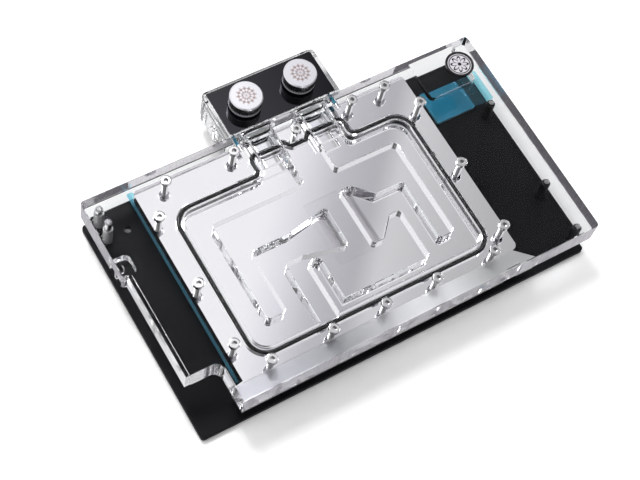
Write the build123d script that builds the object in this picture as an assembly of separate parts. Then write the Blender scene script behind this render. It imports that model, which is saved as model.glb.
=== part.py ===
from build123d import *
import os

# A full-cover water block for a graphics card. A thick clear plate, milled with flow lanes, is
# screwed to a mirror-finished cold plate. A clear terminal block stands behind it with two
# plugged ports, and a black backplate lies below, with room between for the graphics board.
# Millimetres. The origin is the middle of the backplate's underside: X to the right,
# Y to the terminal side, Z up.

# Clear top plate
plate_length = 236.0
plate_width = 131.5
plate_thick = 14.4
plate_corner = 2.0
edge_break = 0.4

# Heights below the clear plate, from the table up
backplate_thick = 3.5
board_thick = 1.6
standoff_height = 3.0
cold_thick = 8.0

# Backplate
backplate_inset = 0.9
backplate_corner = 2.0
backplate_hole_r = 2.0
backplate_hole_from_left = 20.2
backplate_hole_from_back = 14.7

# Notch at the front left of the clear plate, and the shallow step along its left edge
notch_length = 21.6
notch_width = 23.9
notch_round = 5.0
left_step = 2.7
left_step_end = 84.5
rebate_width = 4.2
rebate_depth = 1.5

# Cold plate
cold_length = 164.9
cold_width = 117.4
cold_mid_x = -6.85
cold_back_inset = 2.5
cold_corner = 3.5
cold_back_corner = 2.2
ledge_width = 9.6
ledge_drop = 0.4
ledge_reach_left = 5.2
ledge_reach_right = 6.6
ledge_slant = 10.1
ledge_notch_from_right = 10.6
ledge_notch_length = 8.4
ledge_notch_depth = 1.8

# Clearances
face_gap = 0.05
screw_clearance = 0.2

# Main seal: a rubber ring in a groove of the clear plate, with a lobe at the ports
seal_r = 1.2
seal_side_inset = 11.8
seal_front_inset = 7.3
seal_back_inset = 20.3
seal_corner = 10.5
lobe_mid_x = 2.8
lobe_half = 28.2
lobe_rise = 11.8
lobe_corner = 4.0
dip_half = 6.0
dip_depth = 4.0
dip_corner = 3.2
groove_depth = 2.5
groove_side = 0.25

# Chamber and flow lanes, milled into the clear plate's underside
chamber_depth = 5.0
chamber_inset = 2.5
lane_bevel = 0.4
back_lane = 12.9
front_lane = 12.8
island_round = 2.2
thin_lane = 7.2
thin_lane_front = 5.9
thin_lane_end = 13.8
lane_well_r = 2.3
lane_well_depth = 1.5
slot_side = 0.6
throat_back_drop = 5.0
throat_front_rise = 5.6
divider_left = 10.3
divider_right = 8.9
join_overlap = 1.0

# Lines of the islands' legs, as shares of the room between the chamber's side and the fins
left_leg_shares = [0.189, 0.357, 0.543, 0.711]
left_throat_share = 0.705
right_leg_shares = [0.746, 0.563, 0.338]
right_throat_share = 0.208

# Processor contact: fins, the jet plate over them and its slit
fin_mid_x = 0.5
fin_behind_middle = 0.2
fin_length = 25.5
fin_width = 35.0
fin_pitch = 1.0
fin_slot = 0.5
fin_depth = 2.0
jet_thick = 0.8
jet_margin = 1.6
slit_width = 5.8
slit_length = 23.3
slit_from_left = 1.7
slit_corner = 1.5
outlet_width = 6.3
pedestal_size = 34.0
pedestal_height = 1.4

# Terminal block and its ports
terminal_mid_x = 1.6
terminal_length = 69.0
terminal_width = 30.0
terminal_height = 20.6
terminal_corner = 3.0
port_spacing = 32.8
port_from_plate = 14.0
port_r = 6.5
port_floor = 3.0
passage_width = 16.0
passage_height = 6.4
passage_round = 2.0
passage_rise = 6.2
passage_end = 22.5
cover_thick = 2.0
cover_rim = 2.4
cover_front_rim = 1.0
cover_corner = 1.0

# Plugs: head, stem and rubber ring
plug_head_r = 9.0
plug_head_height = 7.6
plug_foot_height = 1.2
plug_foot_bevel = 0.3
plug_groove_depth = 0.4
plug_groove_height = 0.4
plug_top_bevel = 0.6
plug_stem_r = 6.3
plug_stem_length = 8.0
plug_flutes = 40
plug_flute_r = 0.35
plug_flute_from_top = 1.4
plug_ring_r = 0.85

# Terminal seals and screws
terminal_seal_r = 0.7
terminal_seal_out = 1.6
terminal_groove = 1.2
terminal_seal_round = 0.5
terminal_screw_r = 1.5
terminal_screw_half = 29.8
terminal_screw_reach = 8.0
terminal_head_r = 2.75
terminal_head_height = 3.0
terminal_head_sink = 0.5

# Cover screws, through the clear plate into the cold plate
screw_r = 1.5
head_r = 2.75
head_height = 3.0
counterbore_depth = 3.2
socket_flats = 2.5
socket_depth = 1.6
thread_reach = 5.5
screw_side_inset = 3.5
screw_back_inset = 5.3
screw_front_inset = 1.7
row_inset = 16.05
front_pair_share = 0.467
back_pair_half = 36.1
back_middle_drop = 2.7
left_screws_from_back = 22.2
left_screw_from_middle = -5.1
left_screws_from_front = 17.2
right_screws_from_back = 22.5
right_screw_from_middle = -5.3
right_screws_from_front = 11.7

# Pockets in the clear plate's underside
pocket_depth = 6.0
pocket_round = 3.5
connector_length = 29.7
connector_width = 24.5
connector_from_right = 7.4
edge_pocket_length = 9.8
edge_pocket_width = 11.8
edge_pocket_from_back = 33.8
rib_length = 4.4
rib_width = 1.6

# Posts between the backplate and the clear plate
left_post_r = 2.6
left_stud_r = 1.9
left_post_inset = 8.2
left_post_from_back = [15.55, 5.45]
left_stud_reach = [10.8, 6.0]
right_post_r = 2.4
right_stud_r = 1.5
right_post_inset = 7.0
right_post_from_back = 39.55
right_posts_from_front = [36.95, 6.95]
right_stud_reach = 2.5
post_tap_r = 1.25
post_tap_depth = 6.0
flat_head_r = 2.9
flat_head_height = 1.7
flat_socket_flats = 2.0
flat_socket_depth = 1.2

# Board standoffs round the processor
standoff_r = 2.75
standoff_half_x = 29.25
standoff_half_y = 29.25
standoff_spigot_r = 1.5
standoff_spigot = 4.0
tap_r = 1.25
board_screw_clear_r = 1.8

# Thermal pads and their liner film
pad_thick = 1.5
pad_round = 1.0
liner_thick = 0.15
edge_pad_width = 13.5
edge_pad_from_front = 4.2
edge_pad_inset = 1.2
left_liner_overhang = 0.9
liner_tab_width = 3.8
liner_tab_reach = 4.7
liner_tab_overlap = 3.0
back_pad_length = 25.0
back_pad_width = 20.0
back_pad_from_right = 9.8
back_pad_from_back = 12.55
back_liner_overhang = 12.4
memory_pad_thick = 1.0
memory_pad_long = 30.0
memory_pad_wide = 12.0
memory_pad_gap = 3.0

# Badge on the clear plate
badge_r = 8.0
badge_thick = 0.7
badge_from_right = 14.0
badge_from_back = 14.45
badge_rim = 0.9
badge_rim_height = 1.0

# Levels
board_gap = board_thick + standoff_height
backplate_top = backplate_thick
cold_bottom = backplate_top + board_gap
cold_top = cold_bottom + cold_thick
plate_bottom = cold_top + face_gap
plate_top = plate_bottom + plate_thick

# Plan edges
plate_left = -plate_length / 2
plate_right = plate_length / 2
plate_front = -plate_width / 2
plate_back = plate_width / 2
cold_left = cold_mid_x - cold_length / 2
cold_right = cold_mid_x + cold_length / 2
cold_back = plate_back - cold_back_inset
cold_front = cold_back - cold_width
seal_left = cold_left + seal_side_inset
seal_right = cold_right - seal_side_inset
seal_front = cold_front + seal_front_inset
seal_back = cold_back - seal_back_inset
chamber_left = seal_left + chamber_inset
chamber_right = seal_right - chamber_inset
chamber_front = seal_front + chamber_inset
chamber_back = seal_back - chamber_inset
fin_mid_y = (chamber_front + chamber_back) / 2 + fin_behind_middle
fin_left = fin_mid_x - fin_length / 2
fin_right = fin_mid_x + fin_length / 2
jet_left = fin_left - jet_margin
jet_right = fin_right - outlet_width
slit_left = fin_left + slit_from_left
slit_right = slit_left + slit_width
terminal_front = plate_back + face_gap
terminal_back = terminal_front + terminal_width
terminal_bottom = plate_top - terminal_height
port_y = terminal_front + port_from_plate
passage_z = plate_bottom + passage_rise
ports = [terminal_mid_x - port_spacing / 2, terminal_mid_x + port_spacing / 2]
cover_top = plate_top
cover_bottom = cover_top - cover_thick
terminal_screws_x = [terminal_mid_x - terminal_screw_half, terminal_mid_x + terminal_screw_half]
terminal_seat = terminal_back - terminal_head_height - terminal_head_sink
standoff_spots = [
    (fin_mid_x + side * standoff_half_x, fin_mid_y + end * standoff_half_y)
    for side in (-1, 1)
    for end in (-1, 1)
]
left_post_spots = [(plate_left + left_post_inset, plate_back - y) for y in left_post_from_back]
right_post_x = plate_right - right_post_inset
right_post_spots = [(right_post_x, plate_back - right_post_from_back)]
right_post_spots = right_post_spots + [(right_post_x, plate_front + y) for y in right_posts_from_front]
post_spots = left_post_spots + right_post_spots


def block(x0, x1, y0, y1, z0, z1):
    """A plain box between two corners."""
    return Pos((x0 + x1) / 2, (y0 + y1) / 2, (z0 + z1) / 2) * Box(x1 - x0, y1 - y0, z1 - z0)


def rod(x, y, z0, z1, r):
    """An upright cylinder from z0 to z1."""
    return Pos(x, y, (z0 + z1) / 2) * Cylinder(r, z1 - z0)


def slab(sketch, z0, z1):
    """A flat outline raised from z0 to z1."""
    return Pos(0, 0, z0) * extrude(sketch, z1 - z0)


def area(x0, x1, y0, y1):
    """A flat rectangle between two corners."""
    return Pos((x0 + x1) / 2, (y0 + y1) / 2) * Rectangle(x1 - x0, y1 - y0)


def outline(points, radii):
    """A flat face inside a closed line of straight runs joined by arcs."""
    return make_face(FilletPolyline(*points, radius=radii, close=True))


def seal_points(inset):
    """Corners and radii of the seal's line, moved inwards by the inset."""
    left, right = seal_left + inset, seal_right - inset
    front, back = seal_front + inset, seal_back - inset
    lobe_left, lobe_right = lobe_mid_x - lobe_half + inset, lobe_mid_x + lobe_half - inset
    lobe_back = seal_back + lobe_rise - inset
    dip_left, dip_right = lobe_mid_x - dip_half - inset / 2, lobe_mid_x + dip_half + inset / 2
    dip_back = lobe_back - dip_depth
    slope = dip_depth
    outer, inner = seal_corner - inset, lobe_corner - min(inset, lobe_corner / 2)
    corners = [
        (left, front, outer),
        (right, front, outer),
        (right, back, outer),
        (lobe_right, back, dip_corner),
        (lobe_right, lobe_back, inner),
        (dip_right + slope / 2, lobe_back, dip_corner / 2),
        (dip_right - slope / 2, dip_back, dip_corner / 2),
        (dip_left + slope / 2, dip_back, dip_corner / 2),
        (dip_left - slope / 2, lobe_back, dip_corner / 2),
        (lobe_left, lobe_back, inner),
        (lobe_left, back, dip_corner),
        (left, back, outer),
    ]
    return [(x, y) for x, y, r in corners], [r for x, y, r in corners]


def cover_screw_spots():
    """Middles of the cover screws, as a dictionary of rows."""
    left = cold_left + screw_side_inset
    right = cold_right - screw_side_inset
    back = cold_back - screw_back_inset
    front = cold_front + screw_front_inset
    middle = cold_mid_x
    middle_y = (cold_front + cold_back) / 2
    row_half = cold_length / 2 - row_inset
    front_pair_half = front_pair_share * row_half
    return {
        "left": [
            (left, cold_back - left_screws_from_back),
            (left, middle_y + left_screw_from_middle),
            (left, cold_front + left_screws_from_front),
        ],
        "right": [
            (right, cold_back - right_screws_from_back),
            (right, middle_y + right_screw_from_middle),
            (right, cold_front + right_screws_from_front),
        ],
        "front": [(middle + x, front) for x in (-row_half, -front_pair_half, 0, front_pair_half, row_half)],
        "back": [
            (middle - row_half, back),
            (lobe_mid_x - back_pair_half, back),
            (lobe_mid_x, back - back_middle_drop),
            (lobe_mid_x + back_pair_half, back),
            (middle + row_half, back),
        ],
    }


screw_rows = cover_screw_spots()
screw_spots = [spot for row in screw_rows.values() for spot in row]


def flow_lanes():
    """Plan of the wet space: the chamber inside the seal, less the islands that steer the flow."""
    points, radii = seal_points(chamber_inset)
    chamber = outline(points, radii)

    # Island lines, from left to right and from front to back
    left_room = slit_left - chamber_left
    right_room = chamber_right - fin_right
    leg_a, leg_a_inner, leg_b, leg_b_inner = [chamber_left + share * left_room for share in left_leg_shares]
    leg_c, leg_c_inner, leg_d = [fin_right + share * right_room for share in right_leg_shares]
    back_line = chamber_back - back_lane
    leg_front = chamber_front + front_lane
    slot_front = fin_mid_y - slit_length / 2 - slot_side
    slot_back = fin_mid_y + slit_length / 2 + slot_side
    lane_back = slot_back - throat_back_drop
    lane_front = slot_front + throat_front_rise
    outlet_front = fin_mid_y - fin_width / 2
    outlet_back = fin_mid_y + fin_width / 2
    throat_left = chamber_left + left_throat_share * left_room
    throat_right = fin_right + right_throat_share * right_room

    left_island = Polyline(
        (leg_a, leg_front),
        (leg_a_inner, leg_front),
        (leg_a_inner, lane_back),
        (throat_left, lane_back),
        (slit_right, slot_back),
        (slit_right, back_line),
        (leg_a, back_line),
        close=True,
    )
    right_island = Polyline(
        (leg_c, leg_front),
        (leg_c, back_line),
        (jet_right, back_line),
        (jet_right, outlet_back),
        (fin_right, outlet_back),
        (throat_right, lane_back),
        (leg_c_inner, lane_back),
        (leg_c_inner, leg_front),
        close=True,
    )
    front_island = Polyline(
        (leg_b, seal_front),
        (leg_b, lane_front),
        (throat_left, lane_front),
        (slit_right, slot_front),
        (jet_right, outlet_front),
        (fin_right, outlet_front),
        (throat_right, lane_front),
        (leg_d, lane_front),
        (leg_d, chamber_front + thin_lane_front),
        (leg_b_inner, chamber_front + thin_lane_front),
        (leg_b_inner, seal_front),
        close=True,
    )
    bridge = area(slit_right, jet_right, outlet_front - join_overlap, back_line)
    divider = area(
        lobe_mid_x - divider_left,
        lobe_mid_x + divider_right,
        back_line - join_overlap,
        seal_back + lobe_rise,
    )
    islands = make_face(left_island) + make_face(right_island) + make_face(front_island)
    islands = islands + bridge + divider
    islands = fillet(islands.vertices(), island_round)

    # The thin lane between the two front legs ends in a round milled pocket
    lane_mid, lane_end = lane_well()
    lane_start = chamber_front
    lane = area(leg_b_inner, leg_b_inner + thin_lane, lane_start, lane_end)
    lane = lane + Pos(lane_mid, lane_end) * Circle(thin_lane / 2)
    return chamber - (islands - lane)


def lane_well():
    """Middle of the round end of the thin lane, where the cold plate has a small round well."""
    leg_b_inner = chamber_left + left_leg_shares[-1] * (slit_left - chamber_left)
    return leg_b_inner + thin_lane / 2, fin_mid_y - thin_lane_end


def passage_outline(out):
    """Upright plan of a port passage, an oblong with round corners, grown by out on every side."""
    return RectangleRounded(passage_width + 2 * out, passage_height + 2 * out, passage_round + out)


def passage_plane(x, y):
    """Plane facing the terminal side, centred on a port passage."""
    return Plane(origin=(x, y, passage_z), x_dir=(1, 0, 0), z_dir=(0, -1, 0))


def make_top_plate():
    """The clear plate: outline, notch, screw holes, lanes, passages and pockets."""
    plan = area(plate_left, plate_right, plate_front, plate_back)
    plan = plan - area(plate_left, plate_left + notch_length, plate_front, plate_front + notch_width)
    step_top = plate_front + left_step_end
    plan = plan - area(plate_left, plate_left + left_step, plate_front, step_top)
    corner = (plate_left + notch_length, plate_front + notch_width)
    inner = plan.vertices().sort_by_distance((corner[0], corner[1], 0))[0]
    plan = fillet(inner, notch_round)
    sharp = [v for v in plan.vertices() if min(abs(v.X - plate_left), abs(v.X - plate_right)) < 0.01]
    plan = fillet(sharp, plate_corner)
    plate = slab(plan, plate_bottom, plate_top)
    rims = plate.faces().sort_by(Axis.Z)
    plate = chamfer(rims[-1].edges() + rims[0].edges(), edge_break)

    for x, y in screw_spots:
        plate = plate - rod(x, y, plate_bottom, plate_top, screw_r + screw_clearance)
        head_seat = plate_top - counterbore_depth - face_gap
        plate = plate - rod(x, y, head_seat, plate_top, head_r + screw_clearance)

    points, radii = seal_points(0)
    seal_face = outline(points, radii)
    half_groove = seal_r + groove_side
    groove = offset(seal_face, half_groove) - offset(seal_face, -half_groove)
    plate = plate - slab(groove, plate_bottom, plate_bottom + groove_depth)
    lanes = slab(flow_lanes(), plate_bottom, plate_bottom + chamber_depth)
    plate = plate - chamfer(lanes.faces().sort_by(Axis.Z)[-1].edges(), lane_bevel)

    for x in ports:
        face = passage_plane(x, plate_back)
        plate = plate - extrude(face * passage_outline(0), passage_end)
        groove = passage_outline(terminal_seal_out + terminal_seal_r + groove_side)
        groove = groove - passage_outline(terminal_seal_out - terminal_seal_r - groove_side)
        plate = plate - extrude(face * groove, terminal_groove)
    for x in terminal_screws_x:
        hole = Pos(x, plate_back - terminal_screw_reach / 2, passage_z) * Rot(90, 0, 0)
        plate = plate - hole * Cylinder(terminal_screw_r + face_gap, terminal_screw_reach)

    pocket_right = plate_right - connector_from_right
    connector = area(
        pocket_right - connector_length,
        pocket_right,
        plate_back - connector_width,
        plate_back + pocket_round,
    )
    connector = slab(fillet(connector.vertices(), pocket_round), plate_bottom, plate_bottom + pocket_depth)
    plate = plate - chamfer(connector.faces().sort_by(Axis.Z)[-1].edges(), lane_bevel)

    pocket_back = plate_back - edge_pocket_from_back
    edge_pocket = area(
        plate_left - pocket_round,
        plate_left + edge_pocket_length,
        pocket_back - edge_pocket_width,
        pocket_back,
    )
    edge_pocket = fillet(edge_pocket.vertices(), pocket_round)
    rib_y = pocket_back - edge_pocket_width / 2
    rib = area(plate_left, plate_left + rib_length, rib_y - rib_width / 2, rib_y + rib_width / 2)
    plate = plate - slab(edge_pocket - rib, plate_bottom, plate_bottom + pocket_depth)

    rebate = area(
        plate_left,
        plate_left + left_step + rebate_width,
        plate_front + notch_width - notch_round,
        pocket_back - edge_pocket_width,
    )
    plate = plate - slab(rebate, plate_bottom, plate_bottom + rebate_depth)

    for (x, y), reach in zip(left_post_spots, left_stud_reach):
        top = plate_bottom + reach + face_gap
        plate = plate - rod(x, y, plate_bottom, top, left_stud_r + face_gap)
    for x, y in right_post_spots:
        top = plate_bottom + right_stud_reach + face_gap
        plate = plate - rod(x, y, plate_bottom, top, right_stud_r + face_gap)
    return plate


def make_cold_plate():
    """The cold plate: slab with a lower front ledge, fins, jet plate seat and processor pedestal."""
    main = area(cold_left, cold_right, cold_front, cold_back)
    main = fillet(main.vertices().sort_by(Axis.Y)[-2:], cold_back_corner)
    main = fillet(main.vertices().sort_by_distance((cold_right, cold_front, 0))[0], cold_corner)
    plate = slab(main, cold_bottom, cold_top)
    ledge_front = cold_front - ledge_width
    ledge = Polyline(
        (cold_left - ledge_reach_left, ledge_front),
        (cold_right + ledge_reach_right, ledge_front),
        (cold_right + ledge_reach_right - ledge_slant, cold_front),
        (cold_right - ledge_slant, cold_front + join_overlap),
        (cold_left, cold_front + join_overlap),
        (cold_left - ledge_reach_left, cold_front),
        close=True,
    )
    plate = plate + slab(make_face(ledge), cold_bottom, cold_top - ledge_drop)
    notch_right = cold_right - ledge_notch_from_right + ledge_reach_right
    notch = (notch_right - ledge_notch_length, notch_right, ledge_front, ledge_front + ledge_notch_depth)
    plate = plate - block(*notch, cold_bottom, cold_top)
    plate = plate - rod(*lane_well(), cold_top - lane_well_depth, cold_top, lane_well_r)

    pedestal = Pos(fin_mid_x, fin_mid_y) * RectangleRounded(pedestal_size, pedestal_size, cold_corner)
    plate = plate + slab(pedestal, cold_bottom - pedestal_height, cold_bottom)

    seat_front = fin_mid_y - fin_width / 2 - jet_margin
    seat_back = fin_mid_y + fin_width / 2 + jet_margin
    seat_floor = cold_top - jet_thick - face_gap
    plate = plate - block(jet_left, jet_right, seat_front, seat_back, seat_floor, cold_top)
    outlet_front = fin_mid_y - fin_width / 2
    outlet_back = fin_mid_y + fin_width / 2
    plate = plate - block(jet_right, fin_right, outlet_front, outlet_back, seat_floor, cold_top)
    count = int(fin_width / fin_pitch)
    slot = Pos(fin_mid_x, fin_mid_y) * Rectangle(fin_length, fin_slot)
    slots = Sketch() + [spot * slot for spot in GridLocations(0, fin_pitch, 1, count)]
    plate = plate - slab(slots, seat_floor - fin_depth, seat_floor)

    for x, y in screw_spots:
        plate = plate - rod(x, y, cold_top - thread_reach - screw_clearance, cold_top, screw_r)
    for x, y in standoff_spots:
        plate = plate - rod(x, y, cold_bottom, cold_bottom + standoff_spigot, standoff_spigot_r)
    return plate


def make_main_seal():
    """The rubber ring, a round section carried along the seal's line."""
    points, radii = seal_points(0)
    path = FilletPolyline(*points, radius=radii, close=True)
    start = path.edges().sort_by(Axis.Y)[0]
    section = Plane(origin=start @ 0.5, z_dir=start % 0.5) * Circle(seal_r)
    ring = sweep(section, path=path)
    return Pos(0, 0, cold_top + seal_r + face_gap / 2) * ring


def make_jet_plate():
    """Thin steel plate over the fins, with the slit that the flow enters by."""
    front = fin_mid_y - fin_width / 2 - jet_margin
    back = fin_mid_y + fin_width / 2 + jet_margin
    plan = area(jet_left + face_gap, jet_right, front + face_gap, back - face_gap)
    slit = RectangleRounded(slit_width, slit_length, slit_corner)
    slit = Pos((slit_left + slit_right) / 2, fin_mid_y) * slit
    return slab(plan - slit, cold_top - jet_thick - face_gap, cold_top - face_gap)


def make_terminal_block():
    """Clear block behind the plate: two upright ports, each with a passage to the front."""
    left = terminal_mid_x - terminal_length / 2
    right = terminal_mid_x + terminal_length / 2
    plan = area(left, right, terminal_front, terminal_back)
    plan = fillet(plan.vertices().sort_by(Axis.Y)[-2:], terminal_corner)
    body = slab(plan, terminal_bottom, plate_top)
    rims = body.faces().sort_by(Axis.Z)
    body = chamfer(rims[-1].edges() + rims[0].edges(), edge_break)
    recess = cover_outline(face_gap)
    body = body - slab(recess, cover_bottom - face_gap, plate_top)
    for x in ports:
        body = body - rod(x, port_y, terminal_bottom + port_floor, cover_bottom, port_r)
        body = body - extrude(passage_plane(x, port_y) * passage_outline(0), port_from_plate)
    for x in terminal_screws_x:
        body = body - along_y(x, terminal_front, terminal_back, terminal_screw_r + screw_clearance)
        body = body - along_y(x, terminal_seat, terminal_back, terminal_head_r + screw_clearance / 2)
    return body


def along_y(x, y0, y1, r):
    """A cylinder lying along Y at the height of the passages."""
    return Pos(x, (y0 + y1) / 2, passage_z) * Rot(90, 0, 0) * Cylinder(r, y1 - y0)


def cover_outline(out):
    """Plan of the terminal cover, grown by out on every side."""
    left = terminal_mid_x - terminal_length / 2 + cover_rim - out
    right = terminal_mid_x + terminal_length / 2 - cover_rim + out
    front = terminal_front + cover_front_rim - out
    back = terminal_back - cover_rim + cover_front_rim + out
    plan = area(left, right, front, back)
    return fillet(plan.vertices(), cover_corner)


def make_terminal_cover():
    """Glossy black plate let into the block, with a hole at each port."""
    cover = slab(cover_outline(0), cover_bottom, cover_top)
    for x in ports:
        cover = cover - rod(x, port_y, cover_bottom, cover_top, port_r)
    return chamfer(cover.faces().sort_by(Axis.Z)[-1].outer_wire().edges(), edge_break / 2)


def make_terminal_seal(x):
    """Oblong rubber ring round a passage, in a groove of the clear plate's back face."""
    ring = passage_outline(terminal_seal_out + terminal_seal_r)
    ring = ring - passage_outline(terminal_seal_out - terminal_seal_r)
    outer_face = passage_plane(x, plate_back + face_gap / 2)
    solid = extrude(outer_face * ring, terminal_groove)
    return fillet(solid.edges().group_by(Axis.Y)[0], terminal_seal_round)


def make_port_plug(x):
    """Stop plug: fluted head over a groove and a plain foot ring, and the stem below."""
    base = cover_top + 2 * plug_ring_r
    top = base + plug_head_height
    foot_top = base + plug_foot_height
    groove_top = foot_top + plug_groove_height
    profile = Polyline(
        (0, base - 2 * plug_ring_r - plug_stem_length),
        (plug_stem_r, base - 2 * plug_ring_r - plug_stem_length),
        (plug_stem_r, base),
        (plug_head_r - plug_foot_bevel, base),
        (plug_head_r, base + plug_foot_bevel),
        (plug_head_r, foot_top),
        (plug_head_r - plug_groove_depth, foot_top),
        (plug_head_r - plug_groove_depth, groove_top),
        (plug_head_r, groove_top),
        (plug_head_r, top - plug_top_bevel),
        (plug_head_r - plug_top_bevel, top),
        (0, top),
        close=True,
    )
    plug = revolve(Plane.XZ * make_face(profile), Axis.Z)
    flute = slab(Circle(plug_flute_r), groove_top - plug_groove_height / 2, top - plug_flute_from_top)
    for spot in PolarLocations(plug_head_r, plug_flutes):
        plug = plug - spot * flute
    return Pos(x, port_y, 0) * plug


def make_plug_seal(x):
    """Rubber ring between a plug's head and the cover."""
    ring = Torus(plug_stem_r + plug_ring_r + face_gap, plug_ring_r)
    return Pos(x, port_y, cover_top + plug_ring_r) * ring


def make_cover_screw(x, y):
    """Cap screw with a hexagon socket, its head sunk just below the clear plate's top."""
    head_bottom = plate_top - counterbore_depth
    head_top = head_bottom + head_height
    screw = rod(x, y, head_bottom, head_top, head_r)
    screw = fillet(screw.edges().sort_by(Axis.Z)[-1], edge_break)
    screw = screw + rod(x, y, cold_top - thread_reach, head_bottom, screw_r - face_gap)
    socket = Pos(x, y) * RegularPolygon(socket_flats / 2, 6, major_radius=False)
    return screw - slab(socket, head_top - socket_depth, head_top)


def make_terminal_screw(x):
    """Long cap screw lying along Y, from the block's back into the clear plate."""
    tip = plate_back - terminal_screw_reach + screw_clearance
    head_end = terminal_seat + terminal_head_height
    screw = along_y(x, tip, terminal_seat, terminal_screw_r)
    screw = screw + along_y(x, terminal_seat, head_end, terminal_head_r)
    socket = passage_plane(x, head_end) * RegularPolygon(socket_flats / 2, 6, major_radius=False)
    return screw - extrude(socket, socket_depth)


def make_post(x, y, r, stud_r, reach):
    """Post from the backplate to the clear plate, with a round-nosed stud that enters it."""
    tip = plate_bottom + reach
    profile = Polyline(
        (0, backplate_top),
        (r, backplate_top),
        (r, plate_bottom - face_gap),
        (stud_r, plate_bottom - face_gap),
        (stud_r, tip - stud_r / 2),
        (stud_r / 2, tip),
        (0, tip),
        close=True,
    )
    post = Pos(x, y) * revolve(Plane.XZ * make_face(profile), Axis.Z)
    return post - rod(x, y, backplate_top, backplate_top + post_tap_depth, post_tap_r)


def make_backplate():
    """Black plate below: countersunk for the posts, drilled for the board's screws."""
    plan = area(
        plate_left + backplate_inset,
        plate_right - backplate_inset,
        plate_front,
        plate_back,
    )
    plate = slab(fillet(plan.vertices(), backplate_corner), 0, backplate_top)
    rims = plate.faces().sort_by(Axis.Z)
    plate = chamfer(rims[-1].edges() + rims[0].edges(), edge_break)
    for x, y in post_spots:
        plate = plate - rod(x, y, 0, backplate_top, post_tap_r + screw_clearance)
        cone = Cone(flat_head_r + screw_clearance, post_tap_r + screw_clearance, flat_head_height)
        plate = plate - Pos(x, y, flat_head_height / 2) * cone
    for x, y in standoff_spots:
        plate = plate - rod(x, y, 0, backplate_top, board_screw_clear_r)
    hole_x = plate_left + backplate_hole_from_left
    hole_y = plate_back - backplate_hole_from_back
    return plate - rod(hole_x, hole_y, 0, backplate_top, backplate_hole_r)


def make_backplate_screw(x, y):
    """Countersunk screw from below, into a post."""
    head = Pos(x, y, flat_head_height / 2) * Cone(flat_head_r, post_tap_r - face_gap, flat_head_height)
    tip = backplate_top + post_tap_depth - join_overlap
    screw = head + rod(x, y, 0, tip, post_tap_r - face_gap)
    socket = Pos(x, y) * RegularPolygon(flat_socket_flats / 2, 6, major_radius=False)
    return screw - slab(socket, 0, flat_socket_depth)


def make_standoff(x, y):
    """Threaded standoff under the cold plate, which the graphics board is screwed to."""
    foot = cold_bottom - standoff_height
    post = Pos(x, y) * RegularPolygon(standoff_r, 6)
    spigot_top = cold_bottom + standoff_spigot - face_gap
    solid = slab(post, foot, cold_bottom) + rod(x, y, cold_bottom, spigot_top, standoff_spigot_r - face_gap)
    return solid - rod(x, y, foot, cold_bottom, tap_r)


def pad(x0, x1, y0, y1, z0, z1):
    """A soft pad or film: a flat rectangle with rounded corners."""
    plan = area(x0, x1, y0, y1)
    return slab(fillet(plan.vertices(), pad_round), z0, z1)


def make_memory_pads():
    """Pads round the processor contact: one at each side and one behind."""
    near = pedestal_size / 2 + memory_pad_gap
    far = near + memory_pad_wide
    half = memory_pad_long / 2
    low = cold_bottom - memory_pad_thick
    x, y = fin_mid_x, fin_mid_y
    return [
        pad(x - far, x - near, y - half, y + half, low, cold_bottom),
        pad(x + near, x + far, y - half, y + half, low, cold_bottom),
        pad(x - half, x + half, y + near, y + far, low, cold_bottom),
    ]


def write(name, *solids):
    """Save one node, a single solid or a group of like ones."""
    shape = solids[0] if len(solids) == 1 else Compound(children=list(solids))
    export_step(shape, f"parts/{name}.step")


os.makedirs("parts", exist_ok=True)

write("top_plate", make_top_plate())
write("cold_plate", make_cold_plate())
write("main_seal", make_main_seal())
write("jet_plate", make_jet_plate())
write("terminal_block", make_terminal_block())
write("terminal_cover", make_terminal_cover())
for side, x in zip(("left", "right"), ports):
    write(f"terminal_seal_{side}", make_terminal_seal(x))
    write(f"port_plug_{side}", make_port_plug(x))
    write(f"plug_seal_{side}", make_plug_seal(x))
write("terminal_screws", *[make_terminal_screw(x) for x in terminal_screws_x])
for row, spots in screw_rows.items():
    write(f"cover_screws_{row}", *[make_cover_screw(x, y) for x, y in spots])
left_posts = [
    make_post(x, y, left_post_r, left_stud_r, reach)
    for (x, y), reach in zip(left_post_spots, left_stud_reach)
]
write("left_posts", *left_posts)
right_posts = [make_post(x, y, right_post_r, right_stud_r, right_stud_reach) for x, y in right_post_spots]
write("right_posts", *right_posts)
write("backplate", make_backplate())
write("backplate_screws", *[make_backplate_screw(x, y) for x, y in post_spots])
write("board_standoffs", *[make_standoff(x, y) for x, y in standoff_spots])

# Long pads under the cold plate's side edges. The left one's film sticks out past the metal, and
# it has a pull tab at its back corner.
pad_back = cold_back - edge_pad_inset
pad_front = cold_front + edge_pad_from_front
pad_low = cold_bottom - pad_thick
film_low = pad_low - liner_thick
left_from = cold_left + edge_pad_inset
left_to = left_from + edge_pad_width
right_to = cold_right - edge_pad_inset
right_from = right_to - edge_pad_width
film_left = cold_left - left_liner_overhang
film = pad(film_left, left_to, pad_front, pad_back, film_low, pad_low)
tab_right = film_left + liner_tab_width
tab = pad(film_left, tab_right, pad_back - liner_tab_overlap, cold_back + liner_tab_reach, film_low, pad_low)
write("edge_pad_left", pad(left_from, left_to, pad_front, pad_back, pad_low, cold_bottom))
write("edge_pad_right", pad(right_from, right_to, pad_front, pad_back, pad_low, cold_bottom))
write("edge_liner_left", film + tab)
write("edge_liner_right", pad(right_from, right_to, pad_front, pad_back, film_low, pad_low))
write("memory_pads", *make_memory_pads())

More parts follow.
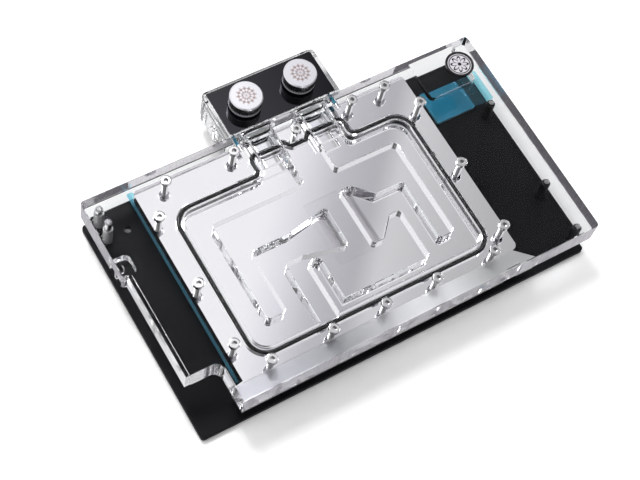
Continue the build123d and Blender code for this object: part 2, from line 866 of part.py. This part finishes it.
# Pad on the backplate, with a longer film just over it
back_to = plate_right - back_pad_from_right
back_from = back_to - back_pad_length
back_end = plate_back - back_pad_from_back
back_start = back_end - back_pad_width
film_to = back_to + back_liner_overhang
pad_top = backplate_top + pad_thick
film_z = pad_top + face_gap
film_top = film_z + liner_thick
write("backplate_pad", pad(back_from, back_to, back_start, back_end, backplate_top, pad_top))
write("backplate_liner", pad(back_from, film_to, back_start, back_end, film_z, film_top))

# Badge: a thin disc with a raised rim round it
badge_x = plate_right - badge_from_right
badge_y = plate_back - badge_from_back
disc = rod(badge_x, badge_y, plate_top, plate_top + badge_thick, badge_r - badge_rim)
rim = rod(badge_x, badge_y, plate_top, plate_top + badge_rim_height, badge_r)
rim = rim - rod(badge_x, badge_y, plate_top, plate_top + badge_rim_height, badge_r - badge_rim)
write("badge", disc)
write("badge_rim", fillet(rim.edges().group_by(Axis.Z)[-1], edge_break / 2))
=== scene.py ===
import bpy
import math
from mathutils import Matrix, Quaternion, Vector

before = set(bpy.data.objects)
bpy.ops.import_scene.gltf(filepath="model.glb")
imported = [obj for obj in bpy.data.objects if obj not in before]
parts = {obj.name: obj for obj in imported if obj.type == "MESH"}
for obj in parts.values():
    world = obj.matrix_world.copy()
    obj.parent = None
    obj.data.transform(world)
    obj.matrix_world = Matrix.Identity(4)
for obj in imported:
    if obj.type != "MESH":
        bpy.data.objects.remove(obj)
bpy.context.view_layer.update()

# Backplate. It is milled aluminium, blasted and anodised black, and carries the posts. The blasting
# takes the shine off the black. Its grain is drawn coarser than it is. Here and below, the scale of a
# pattern is its repeats in a metre, so 1000 over its size in millimetres.


def new_finish(name):
    """A new material with an empty node tree, and that tree."""
    material = bpy.data.materials.new(name)
    material.use_nodes = True
    material.node_tree.nodes.clear()
    return material, material.node_tree


def linear(code):
    """A linear colour, with alpha 1, from an sRGB hex value."""
    values = [int(code[i : i + 2], 16) / 255 for i in (0, 2, 4)]
    return [v / 12.92 if v <= 0.04045 else ((v + 0.055) / 1.055) ** 2.4 for v in values] + [1.0]


def add(tree, kind, sockets=None, stops=(), **settings):
    """Adds a node with its settings, and sets or links its inputs by name or number.

    The stops of a colour ramp are pairs of place and sRGB hex value.
    """
    made = tree.nodes.new("ShaderNode" + kind)
    for name, value in settings.items():
        setattr(made, name, value)
    for name, value in (sockets or {}).items():
        if isinstance(value, bpy.types.NodeSocket):
            tree.links.new(value, made.inputs[name])
        else:
            made.inputs[name].default_value = value
    if stops:
        band = made.color_ramp.elements
        while len(band) < len(stops):
            band.new(0.5)
        for element, (spot, code) in zip(band, stops):
            element.position = spot
            element.color = linear(code)
    return made


def put_on(finish, *names):
    """Gives a finish to carried-over pieces, in every slot they have."""
    for name in names:
        for slot in parts[name].material_slots:
            slot.material = finish


blast_grain_mm = 0.33
anodised, tree = new_finish("black_anodised_aluminium")
place = add(tree, "TexCoord").outputs["Object"]
grain = add(tree, "TexNoise", {"Vector": place, "Scale": 1000 / blast_grain_mm, "Detail": 2.0})
relief = add(tree, "Bump", {"Height": grain.outputs["Fac"], "Strength": 0.15, "Distance": 0.00005})
shade = add(tree, "MixRGB", {
    "Fac": grain.outputs["Fac"],
    "Color1": linear("141416"),
    "Color2": linear("1F1F22"),
})
body = add(tree, "BsdfPrincipled", {
    "Base Color": shade.outputs["Color"],
    "Roughness": 0.4,
    "Specular IOR Level": 0.06,
    "Normal": relief.outputs["Normal"],
})
add(tree, "OutputMaterial", {"Surface": body.outputs["BSDF"]})
put_on(anodised, "backplate")

# Posts at the left, turned aluminium, screwed to the backplate from below. Their noses reach up
# into the clear plate. They are blasted to a soft matt silver. The grit's marks are drawn coarser
# than they are.
grit_mm = 0.45
blasted, tree = new_finish("blasted_aluminium")
place = add(tree, "TexCoord").outputs["Object"]
grain = add(tree, "TexNoise", {"Vector": place, "Scale": 1000 / grit_mm, "Detail": 3.0})
shade = add(tree, "MixRGB", {
    "Fac": grain.outputs["Fac"],
    "Color1": linear("A9A9AA"),
    "Color2": linear("C4C4C5"),
})
rough = add(tree, "MapRange", {"Value": grain.outputs["Fac"], "To Min": 0.45, "To Max": 0.6})
body = add(tree, "BsdfPrincipled", {
    "Base Color": shade.outputs["Color"],
    "Metallic": 0.85,
    "Roughness": rough.outputs["Result"],
})
add(tree, "OutputMaterial", {"Surface": body.outputs["BSDF"]})
put_on(blasted, "left_posts")

# Posts at the right and the countersunk screws under the backplate, turned steel with a black oxide
# finish that is slightly blotched. The studs that reach up into the clear plate are bare and bright.


def corners(name):
    """The lowest and the highest corner of a carried-over piece."""
    along_axes = list(zip(*parts[name].bound_box))
    return Vector([min(values) for values in along_axes]), Vector([max(values) for values in along_axes])


blotch_mm = 0.67
shoulder_margin = 0.00003
plate_low, plate_high = corners("top_plate")
stud_foot = plate_low.z - shoulder_margin
oxide, tree = new_finish("black_oxide_steel")
place = add(tree, "TexCoord").outputs["Object"]
height = add(tree, "SeparateXYZ", {"Vector": place}).outputs["Z"]
bare = add(tree, "Math", {0: height, 1: stud_foot}, operation="GREATER_THAN")
grain = add(tree, "TexNoise", {"Vector": place, "Scale": 1000 / blotch_mm, "Detail": 3.0})
dark = add(tree, "MixRGB", {
    "Fac": grain.outputs["Fac"],
    "Color1": linear("1A1A1C"),
    "Color2": linear("29292C"),
})
shade = add(tree, "MixRGB", {
    "Fac": bare.outputs[0],
    "Color1": dark.outputs["Color"],
    "Color2": linear("9E9D9D"),
})
body = add(tree, "BsdfPrincipled", {
    "Base Color": shade.outputs["Color"],
    "Metallic": bare.outputs[0],
    "Roughness": 0.45,
    "Specular IOR Level": 0.2,
})
add(tree, "OutputMaterial", {"Surface": body.outputs["BSDF"]})
put_on(oxide, "right_posts", "backplate_screws")

# Thermal pads, soft silicone filled with ceramic powder and pressed to sheet. The powder makes them
# pale blue and quite matt. Their mealy grain is drawn coarser than it is.
meal_mm = 0.67
silicone, tree = new_finish("filled_silicone_pad")
place = add(tree, "TexCoord").outputs["Object"]
grain = add(tree, "TexNoise", {"Vector": place, "Scale": 1000 / meal_mm, "Detail": 4.0})
shade = add(tree, "MixRGB", {
    "Fac": grain.outputs["Fac"],
    "Color1": linear("6BA9C4"),
    "Color2": linear("80BEDA"),
})
body = add(tree, "BsdfPrincipled", {"Base Color": shade.outputs["Color"], "Roughness": 0.8})
add(tree, "OutputMaterial", {"Surface": body.outputs["BSDF"]})
put_on(silicone, "edge_pad_left", "edge_pad_right", "memory_pads", "backplate_pad")

# Liner films, thin blue polyester laid on the pads and pulled off before use, with faint waves. A
# painted highlight runs along the outer strip of the one at the left, as a paler, milky band.
wave_mm = 11
strip_margin = 0.0003
strip_width = 0.004
strip_left = corners("edge_liner_left")[0].x - strip_margin
strip_right = strip_left + strip_width
film, tree = new_finish("blue_polyester_film")
place = add(tree, "TexCoord").outputs["Object"]
wave = add(tree, "TexNoise", {"Vector": place, "Scale": 1000 / wave_mm, "Detail": 2.0})
relief = add(tree, "Bump", {"Height": wave.outputs["Fac"], "Strength": 0.15, "Distance": 0.0006})
pale = add(tree, "BsdfPrincipled", {
    "Base Color": linear("B0EEF8"),
    "Transmission Weight": 1.0,
    "Roughness": 0.05,
    "IOR": 1.3,
    "Normal": relief.outputs["Normal"],
})
across = add(tree, "SeparateXYZ", {"Vector": place}).outputs["X"]
across = add(tree, "MapRange", {"Value": across, "From Min": strip_left, "From Max": strip_right})
# Painted highlight: the colour of the milky band along the left film's outer strip.
tint = add(tree, "MixRGB", {
    "Fac": across.outputs["Result"],
    "Color1": linear("82C6DE"),
    "Color2": linear("46BCE4"),
})
milky_highlight = add(tree, "BsdfDiffuse", {"Color": tint.outputs["Color"]})
# Painted highlight: a milky band a little inside the left film's outer edge, mixed in over the clear film.
painted_edge_highlight = add(tree, "ValToRGB", {"Fac": across.outputs["Result"]}, stops=[
    (0.05, "3A3A3A"),
    (0.2, "9A9A9A"),
    (0.4, "9A9A9A"),
    (0.65, "4A4A4A"),
    (1.0, "3A3A3A"),
])
body = add(tree, "MixShader", {
    "Fac": painted_edge_highlight.outputs["Color"],
    1: pale.outputs["BSDF"],
    2: milky_highlight.outputs["BSDF"],
})
add(tree, "OutputMaterial", {"Surface": body.outputs["Shader"]})
put_on(film, "edge_liner_left", "edge_liner_right", "backplate_liner")

# Cold plate. It is milled copper, nickel plated over a polished face, so it shows the lanes and
# screws above it again as reflections. Its front ledge is left as milled, so it is satin. Its colour
# along its length is painted reflection: lighter and darker bands where the soft boxes pass over it.
polish_cloud_mm = 1.1
ledge_width = 0.00955
ledge_back = corners("cold_plate")[0].y + ledge_width
ledge_left = -0.095
ledge_right = 0.085
nickel, tree = new_finish("mirror_nickel_plate")
place = add(tree, "TexCoord").outputs["Object"]
axes = add(tree, "SeparateXYZ", {"Vector": place}).outputs
grain = add(tree, "TexNoise", {"Vector": place, "Scale": 1000 / polish_cloud_mm, "Detail": 3.0})
polish = add(tree, "MapRange", {"Value": grain.outputs["Fac"], "To Min": 0.02, "To Max": 0.05})
ledge = add(tree, "Math", {0: axes["Y"], 1: ledge_back}, operation="LESS_THAN")
along = add(tree, "MapRange", {"Value": axes["X"], "From Min": ledge_left, "From Max": ledge_right})
# Painted reflection: the ledge's colour runs lighter and darker along X, for the soft boxes it reflects.
painted_ledge_reflection = add(tree, "ValToRGB", {"Fac": along.outputs["Result"]}, stops=[
    (0.1, "C6C5CB"),
    (0.33, "A4A4A7"),
    (0.58, "F4F3F4"),
    (0.7, "F4F3F4"),
    (0.82, "C4C4C4"),
    (1.0, "C0C0C0"),
])
shade = add(tree, "MixRGB", {
    "Fac": ledge.outputs[0],
    "Color1": linear("E6E4E6"),
    "Color2": painted_ledge_reflection.outputs["Color"],
})
rough = add(tree, "Mix", {"Factor": ledge.outputs[0], "A": polish.outputs["Result"], "B": 0.35})
body = add(tree, "BsdfPrincipled", {
    "Base Color": shade.outputs["Color"],
    "Metallic": 1.0,
    "Roughness": rough.outputs["Result"],
})
add(tree, "OutputMaterial", {"Surface": body.outputs["BSDF"]})
put_on(nickel, "cold_plate")

# Jet plate. It is stainless sheet, laser cut, polished, and laid in its seat over the fins. Very
# faint rolling lines along X are all that is left of the sheet's own finish.
line_gap_mm = 0.25
line_length_mm = 16.7
sheet, tree = new_finish("polished_stainless_sheet")
place = add(tree, "TexCoord").outputs["Object"]
rolled = add(tree, "Mapping", {
    "Vector": place,
    "Scale": (1000 / line_length_mm, 1000 / line_gap_mm, 1000 / line_length_mm),
})
lines = add(tree, "TexNoise", {"Vector": rolled.outputs["Vector"], "Scale": 1.0, "Detail": 4.0})
rough = add(tree, "MapRange", {"Value": lines.outputs["Fac"], "To Min": 0.02, "To Max": 0.05})
body = add(tree, "BsdfPrincipled", {
    "Base Color": linear("E3E1E3"),
    "Metallic": 1.0,
    "Roughness": rough.outputs["Result"],
})
add(tree, "OutputMaterial", {"Surface": body.outputs["BSDF"]})
put_on(sheet, "jet_plate")

# Rubber rings, moulded from black nitrile and laid in their grooves. They are matt, with a soft
# light on their crowns. The mould's fine grain is drawn coarser than it is.
mould_grain_mm = 0.4
rubber, tree = new_finish("moulded_black_rubber")
place = add(tree, "TexCoord").outputs["Object"]
grain = add(tree, "TexNoise", {"Vector": place, "Scale": 1000 / mould_grain_mm, "Detail": 2.0})
relief = add(tree, "Bump", {"Height": grain.outputs["Fac"], "Strength": 0.2, "Distance": 0.0001})
shade = add(tree, "MixRGB", {
    "Fac": grain.outputs["Fac"],
    "Color1": linear("121214"),
    "Color2": linear("222225"),
})
body = add(tree, "BsdfPrincipled", {
    "Base Color": shade.outputs["Color"],
    "Roughness": 0.45,
    "Normal": relief.outputs["Normal"],
})
add(tree, "OutputMaterial", {"Surface": body.outputs["BSDF"]})
put_on(rubber, "main_seal", "terminal_seal_left", "terminal_seal_right", "plug_seal_left", "plug_seal_right")

# Clear plate and terminal block. Both are cast acrylic, milled from slab and polished, so their
# faces are as clear as glass. The plate's outer sides keep a faint haze from the saw, and the left
# and front ones keep more of it.
mark_gap_mm = 1.1
mark_length_mm = 8.3
side_depth = 0.0001
extra_haze = 0.9
acrylic, tree = new_finish("polished_cast_acrylic")
place = add(tree, "TexCoord").outputs["Object"]
axes = add(tree, "SeparateXYZ", {"Vector": place}).outputs
half = add(tree, "VectorMath", {0: place}, operation="ABSOLUTE")
half = add(tree, "SeparateXYZ", {"Vector": half.outputs["Vector"]}).outputs
end_face = add(tree, "Math", {0: half["X"], 1: plate_high.x - side_depth}, operation="GREATER_THAN")
long_face = add(tree, "Math", {0: half["Y"], 1: plate_high.y, 2: side_depth / 2}, operation="COMPARE")
side = add(tree, "Math", {0: end_face.outputs[0], 1: long_face.outputs[0]}, operation="MAXIMUM")
left = add(tree, "Math", {0: axes["X"], 1: plate_low.x + side_depth}, operation="LESS_THAN")
front = add(tree, "Math", {0: axes["Y"], 1: plate_low.y + side_depth / 2}, operation="LESS_THAN")
more = add(tree, "Math", {0: left.outputs[0], 1: front.outputs[0]}, operation="MAXIMUM")
more = add(tree, "Math", {0: more.outputs[0], 1: extra_haze, 2: 1.0}, operation="MULTIPLY_ADD")
sawn = add(tree, "Mapping", {
    "Vector": place,
    "Scale": (1000 / mark_gap_mm, 1000 / mark_gap_mm, 1000 / mark_length_mm),
})
marks = add(tree, "TexNoise", {"Vector": sawn.outputs["Vector"], "Scale": 1.0, "Detail": 3.0})
haze = add(tree, "MapRange", {"Value": marks.outputs["Fac"], "To Min": 0.16, "To Max": 0.36})
haze = add(tree, "Math", {0: haze.outputs["Result"], 1: side.outputs[0]}, operation="MULTIPLY")
haze = add(tree, "Math", {0: haze.outputs[0], 1: more.outputs[0]}, operation="MULTIPLY")
clear = add(tree, "BsdfPrincipled", {
    "Base Color": linear("FCFDFE"),
    "Transmission Weight": 1.0,
    "IOR": 1.49,
    "Roughness": 0.0,
    "Specular Tint": linear("202020"),
})
dull = add(tree, "BsdfDiffuse", {"Color": linear("DAD5DF")})
glow = add(tree, "BsdfTranslucent", {"Color": linear("DAD5DF")})
dull = add(tree, "MixShader", {1: dull.outputs["BSDF"], 2: glow.outputs["BSDF"]})
body = add(tree, "MixShader", {"Fac": haze.outputs[0], 1: clear.outputs["BSDF"], 2: dull.outputs["Shader"]})
add(tree, "OutputMaterial", {"Surface": body.outputs["Shader"]})
put_on(acrylic, "top_plate", "terminal_block")

# Terminal screws, two long ones of stainless steel, put in from behind. A ragged patch of blue
# thread lock near their tips shows through the clear plate.
ragged_edge_mm = 1.1
ragged_reach = 0.002
patch_half = 0.0025
patch_from_tip = 0.00705
patch_middle = corners("terminal_screws")[0].y + patch_from_tip
locked, tree = new_finish("stainless_steel_with_thread_lock")
place = add(tree, "TexCoord").outputs["Object"]
depth = add(tree, "SeparateXYZ", {"Vector": place}).outputs["Y"]
grain = add(tree, "TexNoise", {"Vector": place, "Scale": 1000 / ragged_edge_mm, "Detail": 3.0})
ragged = add(tree, "Math", {0: grain.outputs["Fac"], 1: ragged_reach, 2: depth}, operation="MULTIPLY_ADD")
patch = add(tree, "Math", {0: ragged.outputs[0], 1: patch_middle, 2: patch_half}, operation="COMPARE")
shade = add(tree, "MixRGB", {"Fac": patch.outputs[0], "Color1": linear("D2D1D1"), "Color2": linear("3F9FC0")})
metal = add(tree, "Math", {0: 1.0, 1: patch.outputs[0]}, operation="SUBTRACT")
body = add(tree, "BsdfPrincipled", {
    "Base Color": shade.outputs["Color"],
    "Metallic": metal.outputs[0],
    "Roughness": 0.25,
})
add(tree, "OutputMaterial", {"Surface": body.outputs["BSDF"]})
put_on(locked, "terminal_screws")

# Terminal cover, cast acrylic sheet in gloss black, let into the top of the terminal block. It has
# a very faint polishing haze. A painted sheen makes its reflections stronger at its left end than at its
# right end.
haze_cloud_mm = 8.3
strong_sheen_end = -0.031
weak_sheen_end = 0.033
gloss, tree = new_finish("gloss_black_acrylic")
place = add(tree, "TexCoord").outputs["Object"]
cloud = add(tree, "TexNoise", {"Vector": place, "Scale": 1000 / haze_cloud_mm, "Detail": 3.0})
rough = add(tree, "MapRange", {"Value": cloud.outputs["Fac"], "To Min": 0.03, "To Max": 0.07})
across = add(tree, "SeparateXYZ", {"Vector": place}).outputs["X"]
# Painted sheen: the strength of the cover's reflections falls from its left end to its right end.
painted_sheen = add(tree, "MapRange", {
    "Value": across,
    "From Min": strong_sheen_end,
    "From Max": weak_sheen_end,
    "To Min": 0.6,
    "To Max": 0.2,
})
body = add(tree, "BsdfPrincipled", {
    "Base Color": linear("07070A"),
    "Roughness": rough.outputs["Result"],
    "Specular IOR Level": painted_sheen.outputs["Result"],
    "Specular Tint": linear("F2F2FF"),
})
add(tree, "OutputMaterial", {"Surface": body.outputs["BSDF"]})
put_on(gloss, "terminal_cover")

# Stop plugs, turned brass with satin nickel plate, screwed into the ports by hand. The rolled grip
# is darker, and the foot below it is duller. A plain rosette of dots is etched into each top, less
# bright and warmer than the plate. Both plugs are folded onto one for the pattern.
satin_grain_mm = 0.83
spiral_pitch_mm = 4.2
rosette_arms = 6
rosette_radius = 0.0056
left_low, left_high = corners("port_plug_left")
right_low, right_high = corners("port_plug_right")
plugs_middle = (left_low.x + right_high.x) / 2
plug_from_middle = (right_low.x + right_high.x) / 2 - plugs_middle
plug_behind = (left_low.y + left_high.y) / 2
grip_half = 0.00268
grip_from_top = 0.00339
foot_from_top = 0.00615
grip_middle = left_high.z - grip_from_top
foot_top = left_high.z - foot_from_top
satin_nickel, tree = new_finish("satin_nickel_plate")
place = add(tree, "TexCoord").outputs["Object"]
axes = add(tree, "SeparateXYZ", {"Vector": place}).outputs
off = add(tree, "Math", {0: axes["X"], 1: plugs_middle}, operation="SUBTRACT")
off = add(tree, "Math", {0: off.outputs[0]}, operation="ABSOLUTE")
off = add(tree, "Math", {0: off.outputs[0], 1: plug_from_middle}, operation="SUBTRACT")
behind = add(tree, "Math", {0: axes["Y"], 1: plug_behind}, operation="SUBTRACT")
flat = add(tree, "CombineXYZ", {"X": off.outputs[0], "Y": behind.outputs[0]})
reach = add(tree, "VectorMath", {0: flat.outputs[0]}, operation="LENGTH").outputs["Value"]
turn = add(tree, "Math", {0: behind.outputs[0], 1: off.outputs[0]}, operation="ARCTAN2")
turn = add(tree, "Math", {0: turn.outputs[0], 1: rosette_arms}, operation="MULTIPLY")
# The dots lie where two sets of spirals cross, one wound to the right and one to the left
wind = 2 * math.pi * 1000 / spiral_pitch_mm
right_hand = add(tree, "Math", {0: reach, 1: wind, 2: turn.outputs[0]}, operation="MULTIPLY_ADD")
left_hand = add(tree, "Math", {0: reach, 1: -wind, 2: turn.outputs[0]}, operation="MULTIPLY_ADD")
right_hand = add(tree, "Math", {0: right_hand.outputs[0]}, operation="SINE")
left_hand = add(tree, "Math", {0: left_hand.outputs[0]}, operation="SINE")
weave = add(tree, "Math", {0: right_hand.outputs[0], 1: left_hand.outputs[0]}, operation="MULTIPLY")
weave = add(tree, "MapRange", {"Value": weave.outputs[0], "From Min": -0.5, "From Max": 0.6})
inside = add(tree, "Math", {0: reach, 1: rosette_radius}, operation="LESS_THAN")
etched = add(tree, "Math", {0: weave.outputs["Result"], 1: inside.outputs[0]}, operation="MULTIPLY")
shade = add(tree, "MixRGB", {
    "Fac": etched.outputs[0],
    "Color1": linear("D6D5DB"),
    "Color2": linear("9C8B88"),
})
grip = add(tree, "Math", {0: axes["Z"], 1: grip_middle, 2: grip_half}, operation="COMPARE")
shade = add(tree, "MixRGB", {
    "Fac": grip.outputs[0],
    "Color1": shade.outputs["Color"],
    "Color2": linear("B4B5B4"),
})
foot = add(tree, "MapRange", {
    "Value": axes["Z"],
    "From Min": foot_top,
    "From Max": foot_top + 0.0001,
    "To Min": 0.3,
    "To Max": 1.0,
})
grain = add(tree, "TexNoise", {"Vector": place, "Scale": 1000 / satin_grain_mm, "Detail": 3.0})
rough = add(tree, "MapRange", {"Value": grain.outputs["Fac"], "To Min": 0.16, "To Max": 0.24})
body = add(tree, "BsdfPrincipled", {
    "Base Color": shade.outputs["Color"],
    "Metallic": foot.outputs["Result"],
    "Roughness": rough.outputs["Result"],
})
add(tree, "OutputMaterial", {"Surface": body.outputs["BSDF"]})
put_on(satin_nickel, "port_plug_left", "port_plug_right")

# Cover screws and board standoffs. They are turned from stainless steel and left bright, and the
# screws hold the cold plate to the clear plate. The grain left by the tool softens their lights. It
# is drawn coarser than it is.
tool_grain_mm = 0.5
steel, tree = new_finish("bright_stainless_steel")
place = add(tree, "TexCoord").outputs["Object"]
grain = add(tree, "TexNoise", {"Vector": place, "Scale": 1000 / tool_grain_mm, "Detail": 3.0})
rough = add(tree, "MapRange", {"Value": grain.outputs["Fac"], "To Min": 0.16, "To Max": 0.28})
body = add(tree, "BsdfPrincipled", {
    "Base Color": linear("CAC9CB"),
    "Metallic": 1.0,
    "Roughness": rough.outputs["Result"],
})
add(tree, "OutputMaterial", {"Surface": body.outputs["BSDF"]})
put_on(
    steel,
    "cover_screws_left",
    "cover_screws_right",
    "cover_screws_front",
    "cover_screws_back",
    "board_standoffs",
)

# Badge rim, a turned brass ring with a polished black chrome plate, glued to the clear plate. It
# mirrors the studio darkly, with a faint cloud left by the buff.
buff_cloud_mm = 1.4
chrome, tree = new_finish("polished_black_chrome")
place = add(tree, "TexCoord").outputs["Object"]
cloud = add(tree, "TexNoise", {"Vector": place, "Scale": 1000 / buff_cloud_mm, "Detail": 2.0})
rough = add(tree, "MapRange", {"Value": cloud.outputs["Fac"], "To Min": 0.05, "To Max": 0.12})
body = add(tree, "BsdfPrincipled", {
    "Base Color": linear("3A383D"),
    "Metallic": 1.0,
    "Roughness": rough.outputs["Result"],
})
add(tree, "OutputMaterial", {"Surface": body.outputs["BSDF"]})
put_on(chrome, "badge_rim")

# Badge, a disc of silver foil printed in black, under clear resin that gives it a soft gloss. The
# print is a plain rosette of petals inside two rings.
foil_cloud_mm = 3.3
petals = 8
petal_start = 0.0020
petal_length = 0.0027
petal_line_half = 0.00055
bud_radius = 0.0011
ring_radius = 0.0059
ring_half = 0.0003
edge_ring_radius = 0.0066
badge_low, badge_high = corners("badge")
badge_middle = (badge_low + badge_high) / 2
foil, tree = new_finish("printed_foil_under_resin")
place = add(tree, "TexCoord").outputs["Object"]
axes = add(tree, "SeparateXYZ", {"Vector": place}).outputs
off = add(tree, "Math", {0: axes["X"], 1: badge_middle.x}, operation="SUBTRACT")
behind = add(tree, "Math", {0: axes["Y"], 1: badge_middle.y}, operation="SUBTRACT")
flat = add(tree, "CombineXYZ", {"X": off.outputs[0], "Y": behind.outputs[0]})
reach = add(tree, "VectorMath", {0: flat.outputs[0]}, operation="LENGTH").outputs["Value"]
turn = add(tree, "Math", {0: behind.outputs[0], 1: off.outputs[0]}, operation="ARCTAN2")
turn = add(tree, "Math", {0: turn.outputs[0], 1: petals / 2}, operation="MULTIPLY")
petal = add(tree, "Math", {0: turn.outputs[0]}, operation="SINE")
petal = add(tree, "Math", {0: petal.outputs[0]}, operation="ABSOLUTE")
petal = add(tree, "Math", {0: petal.outputs[0], 1: petal_length, 2: petal_start}, operation="MULTIPLY_ADD")
line = add(tree, "Math", {0: reach, 1: petal.outputs[0], 2: petal_line_half}, operation="COMPARE")
bud = add(tree, "Math", {0: reach, 1: bud_radius}, operation="LESS_THAN")
ring = add(tree, "Math", {0: reach, 1: ring_radius, 2: ring_half}, operation="COMPARE")
edge_ring = add(tree, "Math", {0: reach, 1: edge_ring_radius}, operation="GREATER_THAN")
ink = add(tree, "Math", {0: line.outputs[0], 1: bud.outputs[0]}, operation="MAXIMUM")
ink = add(tree, "Math", {0: ink.outputs[0], 1: ring.outputs[0]}, operation="MAXIMUM")
ink = add(tree, "Math", {0: ink.outputs[0], 1: edge_ring.outputs[0]}, operation="MAXIMUM")
bare = add(tree, "Math", {0: 1.0, 1: ink.outputs[0]}, operation="SUBTRACT")
cloud = add(tree, "TexNoise", {"Vector": place, "Scale": 1000 / foil_cloud_mm, "Detail": 2.0})
rough = add(tree, "MapRange", {"Value": cloud.outputs["Fac"], "To Min": 0.15, "To Max": 0.25})
shade = add(tree, "MixRGB", {"Fac": ink.outputs[0], "Color1": linear("FBF8FF"), "Color2": linear("0B0A10")})
body = add(tree, "BsdfPrincipled", {
    "Base Color": shade.outputs["Color"],
    "Metallic": bare.outputs[0],
    "Roughness": rough.outputs["Result"],
    "Coat Weight": 0.5,
})
add(tree, "OutputMaterial", {"Surface": body.outputs["BSDF"]})
put_on(foil, "badge")

# Floor. A sheet of white paper that runs well past the view on every side. It is seen whiter than
# it lights the object, and keeps the object's shadow. It is clear from below, and clear to light that
# leaves the underside of the object, so that views from below show that side lit.
floor_size = 4.0
floor_gap = 0.00005
touching_reach = 0.0004
bpy.ops.object.select_all(action="DESELECT")
bpy.ops.mesh.primitive_plane_add(size=floor_size, location=(0, 0, -floor_gap))
floor = bpy.context.object
floor.name = "floor"
paper, tree = new_finish("white_paper")
ray = add(tree, "LightPath")
mirrored = add(tree, "Math", {
    0: ray.outputs["Is Glossy Ray"],
    1: ray.outputs["Is Transmission Ray"],
}, operation="MAXIMUM")
white = add(tree, "MapRange", {"Value": mirrored.outputs[0], "To Min": 0.72, "To Max": 1.0})
white = add(tree, "Mix", {"Factor": ray.outputs["Is Camera Ray"], "A": white.outputs["Result"], "B": 1.5})
matt = add(tree, "BsdfDiffuse", {"Color": white.outputs["Result"]})
below = add(tree, "NewGeometry").outputs["Backfacing"]
touching = add(tree, "Math", {0: ray.outputs["Ray Length"], 1: touching_reach}, operation="LESS_THAN")
open_side = add(tree, "Math", {0: below, 1: touching.outputs[0]}, operation="MAXIMUM")
gone = add(tree, "BsdfTransparent")
body = add(tree, "MixShader", {"Fac": open_side.outputs[0], 1: matt.outputs["BSDF"], 2: gone.outputs["BSDF"]})
add(tree, "OutputMaterial", {"Surface": body.outputs["Shader"]})
floor.data.materials.append(paper)

# Camera. It stands above and to the left of the front edge, and is rolled a little, as in the
# photograph. It was solved from the clear plate's edges.
aim = Vector((-0.01949, -0.00710, 0.03055))
camera_distance = 0.80155
camera_azimuth = math.radians(-45.49)
camera_elevation = math.radians(61.81)
camera_roll = math.radians(16.92)
towards_camera = Vector((
    math.sin(camera_azimuth) * math.cos(camera_elevation),
    -math.cos(camera_azimuth) * math.cos(camera_elevation),
    math.sin(camera_elevation),
))
lens = bpy.data.cameras.new("camera")
lens.lens = 88.84
lens.sensor_width = 36.0
camera = bpy.data.objects.new("camera", lens)
bpy.context.scene.collection.objects.link(camera)
camera.location = aim + towards_camera * camera_distance
camera.rotation_mode = "QUATERNION"
camera.rotation_quaternion = (-towards_camera).to_track_quat("-Z", "Y") @ Quaternion((0, 0, 1), camera_roll)
bpy.context.scene.camera = camera

# Studio. A pale room with soft boxes that leave dim gaps between them, so the nickel runs from light
# to dark, and dim where the camera stands. It lights matt surfaces a little less than it shows
# in mirrors and through the acrylic. The camera sees it plain white.
across_boxes = (1.0, -0.865, 0.0)
dim_patch_outer = math.radians(36)
dim_patch_inner = math.radians(20)
world = bpy.data.worlds.new("studio")
bpy.context.scene.world = world
world.use_nodes = True
tree = world.node_tree
tree.nodes.clear()
way = add(tree, "TexCoord").outputs["Generated"]
across = add(tree, "VectorMath", {0: way, 1: across_boxes}, operation="DOT_PRODUCT")
across = add(tree, "MapRange", {"Value": across.outputs["Value"], "From Min": -0.05, "From Max": 0.95})
boxes = add(tree, "ValToRGB", {"Fac": across.outputs["Result"]}, stops=[
    (0.051, "FFFFFF"),
    (0.075, "EEEDF1"),
    (0.105, "C9C9CC"),
    (0.135, "BBBBBE"),
    (0.153, "DCDCDC"),
    (0.185, "D0D0D0"),
    (0.24, "BEBEBE"),
    (0.36, "BEBEBE"),
    (0.5, "F0F0F0"),
    (0.8, "F0F0F0"),
    (0.92, "A8A8A8"),
])
near = add(tree, "VectorMath", {0: way, 1: towards_camera}, operation="DOT_PRODUCT")
dim = add(tree, "MapRange", {
    "Value": near.outputs["Value"],
    "From Min": math.cos(dim_patch_outer),
    "From Max": math.cos(dim_patch_inner),
    "To Min": 1.0,
    "To Max": 0.2,
}, interpolation_type="SMOOTHSTEP")
ray = add(tree, "LightPath")
level = add(tree, "MapRange", {"Value": ray.outputs["Is Diffuse Ray"], "To Min": 1.14, "To Max": 0.82})
strength = add(tree, "Math", {0: dim.outputs["Result"], 1: level.outputs["Result"]}, operation="MULTIPLY")
sky = add(tree, "Background", {"Color": boxes.outputs["Color"], "Strength": strength.outputs[0]})
plain = add(tree, "Background", {"Color": linear("FFFFFF")})
sky = add(tree, "MixShader", {
    "Fac": ray.outputs["Is Camera Ray"],
    1: sky.outputs["Background"],
    2: plain.outputs["Background"],
})
add(tree, "OutputWorld", {"Surface": sky.outputs["Shader"]})

# Soft box. One round lamp, half a metre wide, hangs above and behind the object. It gives the soft
# shadow in front and the light on the plug tops.
lamp_place = Vector((0.0, 0.75, 1.28))
box = bpy.data.lights.new("soft_box", "AREA")
box.shape = "DISK"
box.size = 0.5
box.energy = 9.5
lamp = bpy.data.objects.new("soft_box", box)
bpy.context.scene.collection.objects.link(lamp)
lamp.location = lamp_place
lamp.rotation_mode = "QUATERNION"
lamp.rotation_quaternion = (-lamp_place).to_track_quat("-Z", "Y")

# Render settings. Light crosses many clear faces here, so it is given more bounces than usual, and
# the Standard view keeps the whites of the floor and the foil white.
scene = bpy.context.scene
scene.view_settings.view_transform = "Standard"
scene.cycles.max_bounces = 32
scene.cycles.transmission_bounces = 24
scene.cycles.glossy_bounces = 16
scene.cycles.transparent_max_bounces = 16
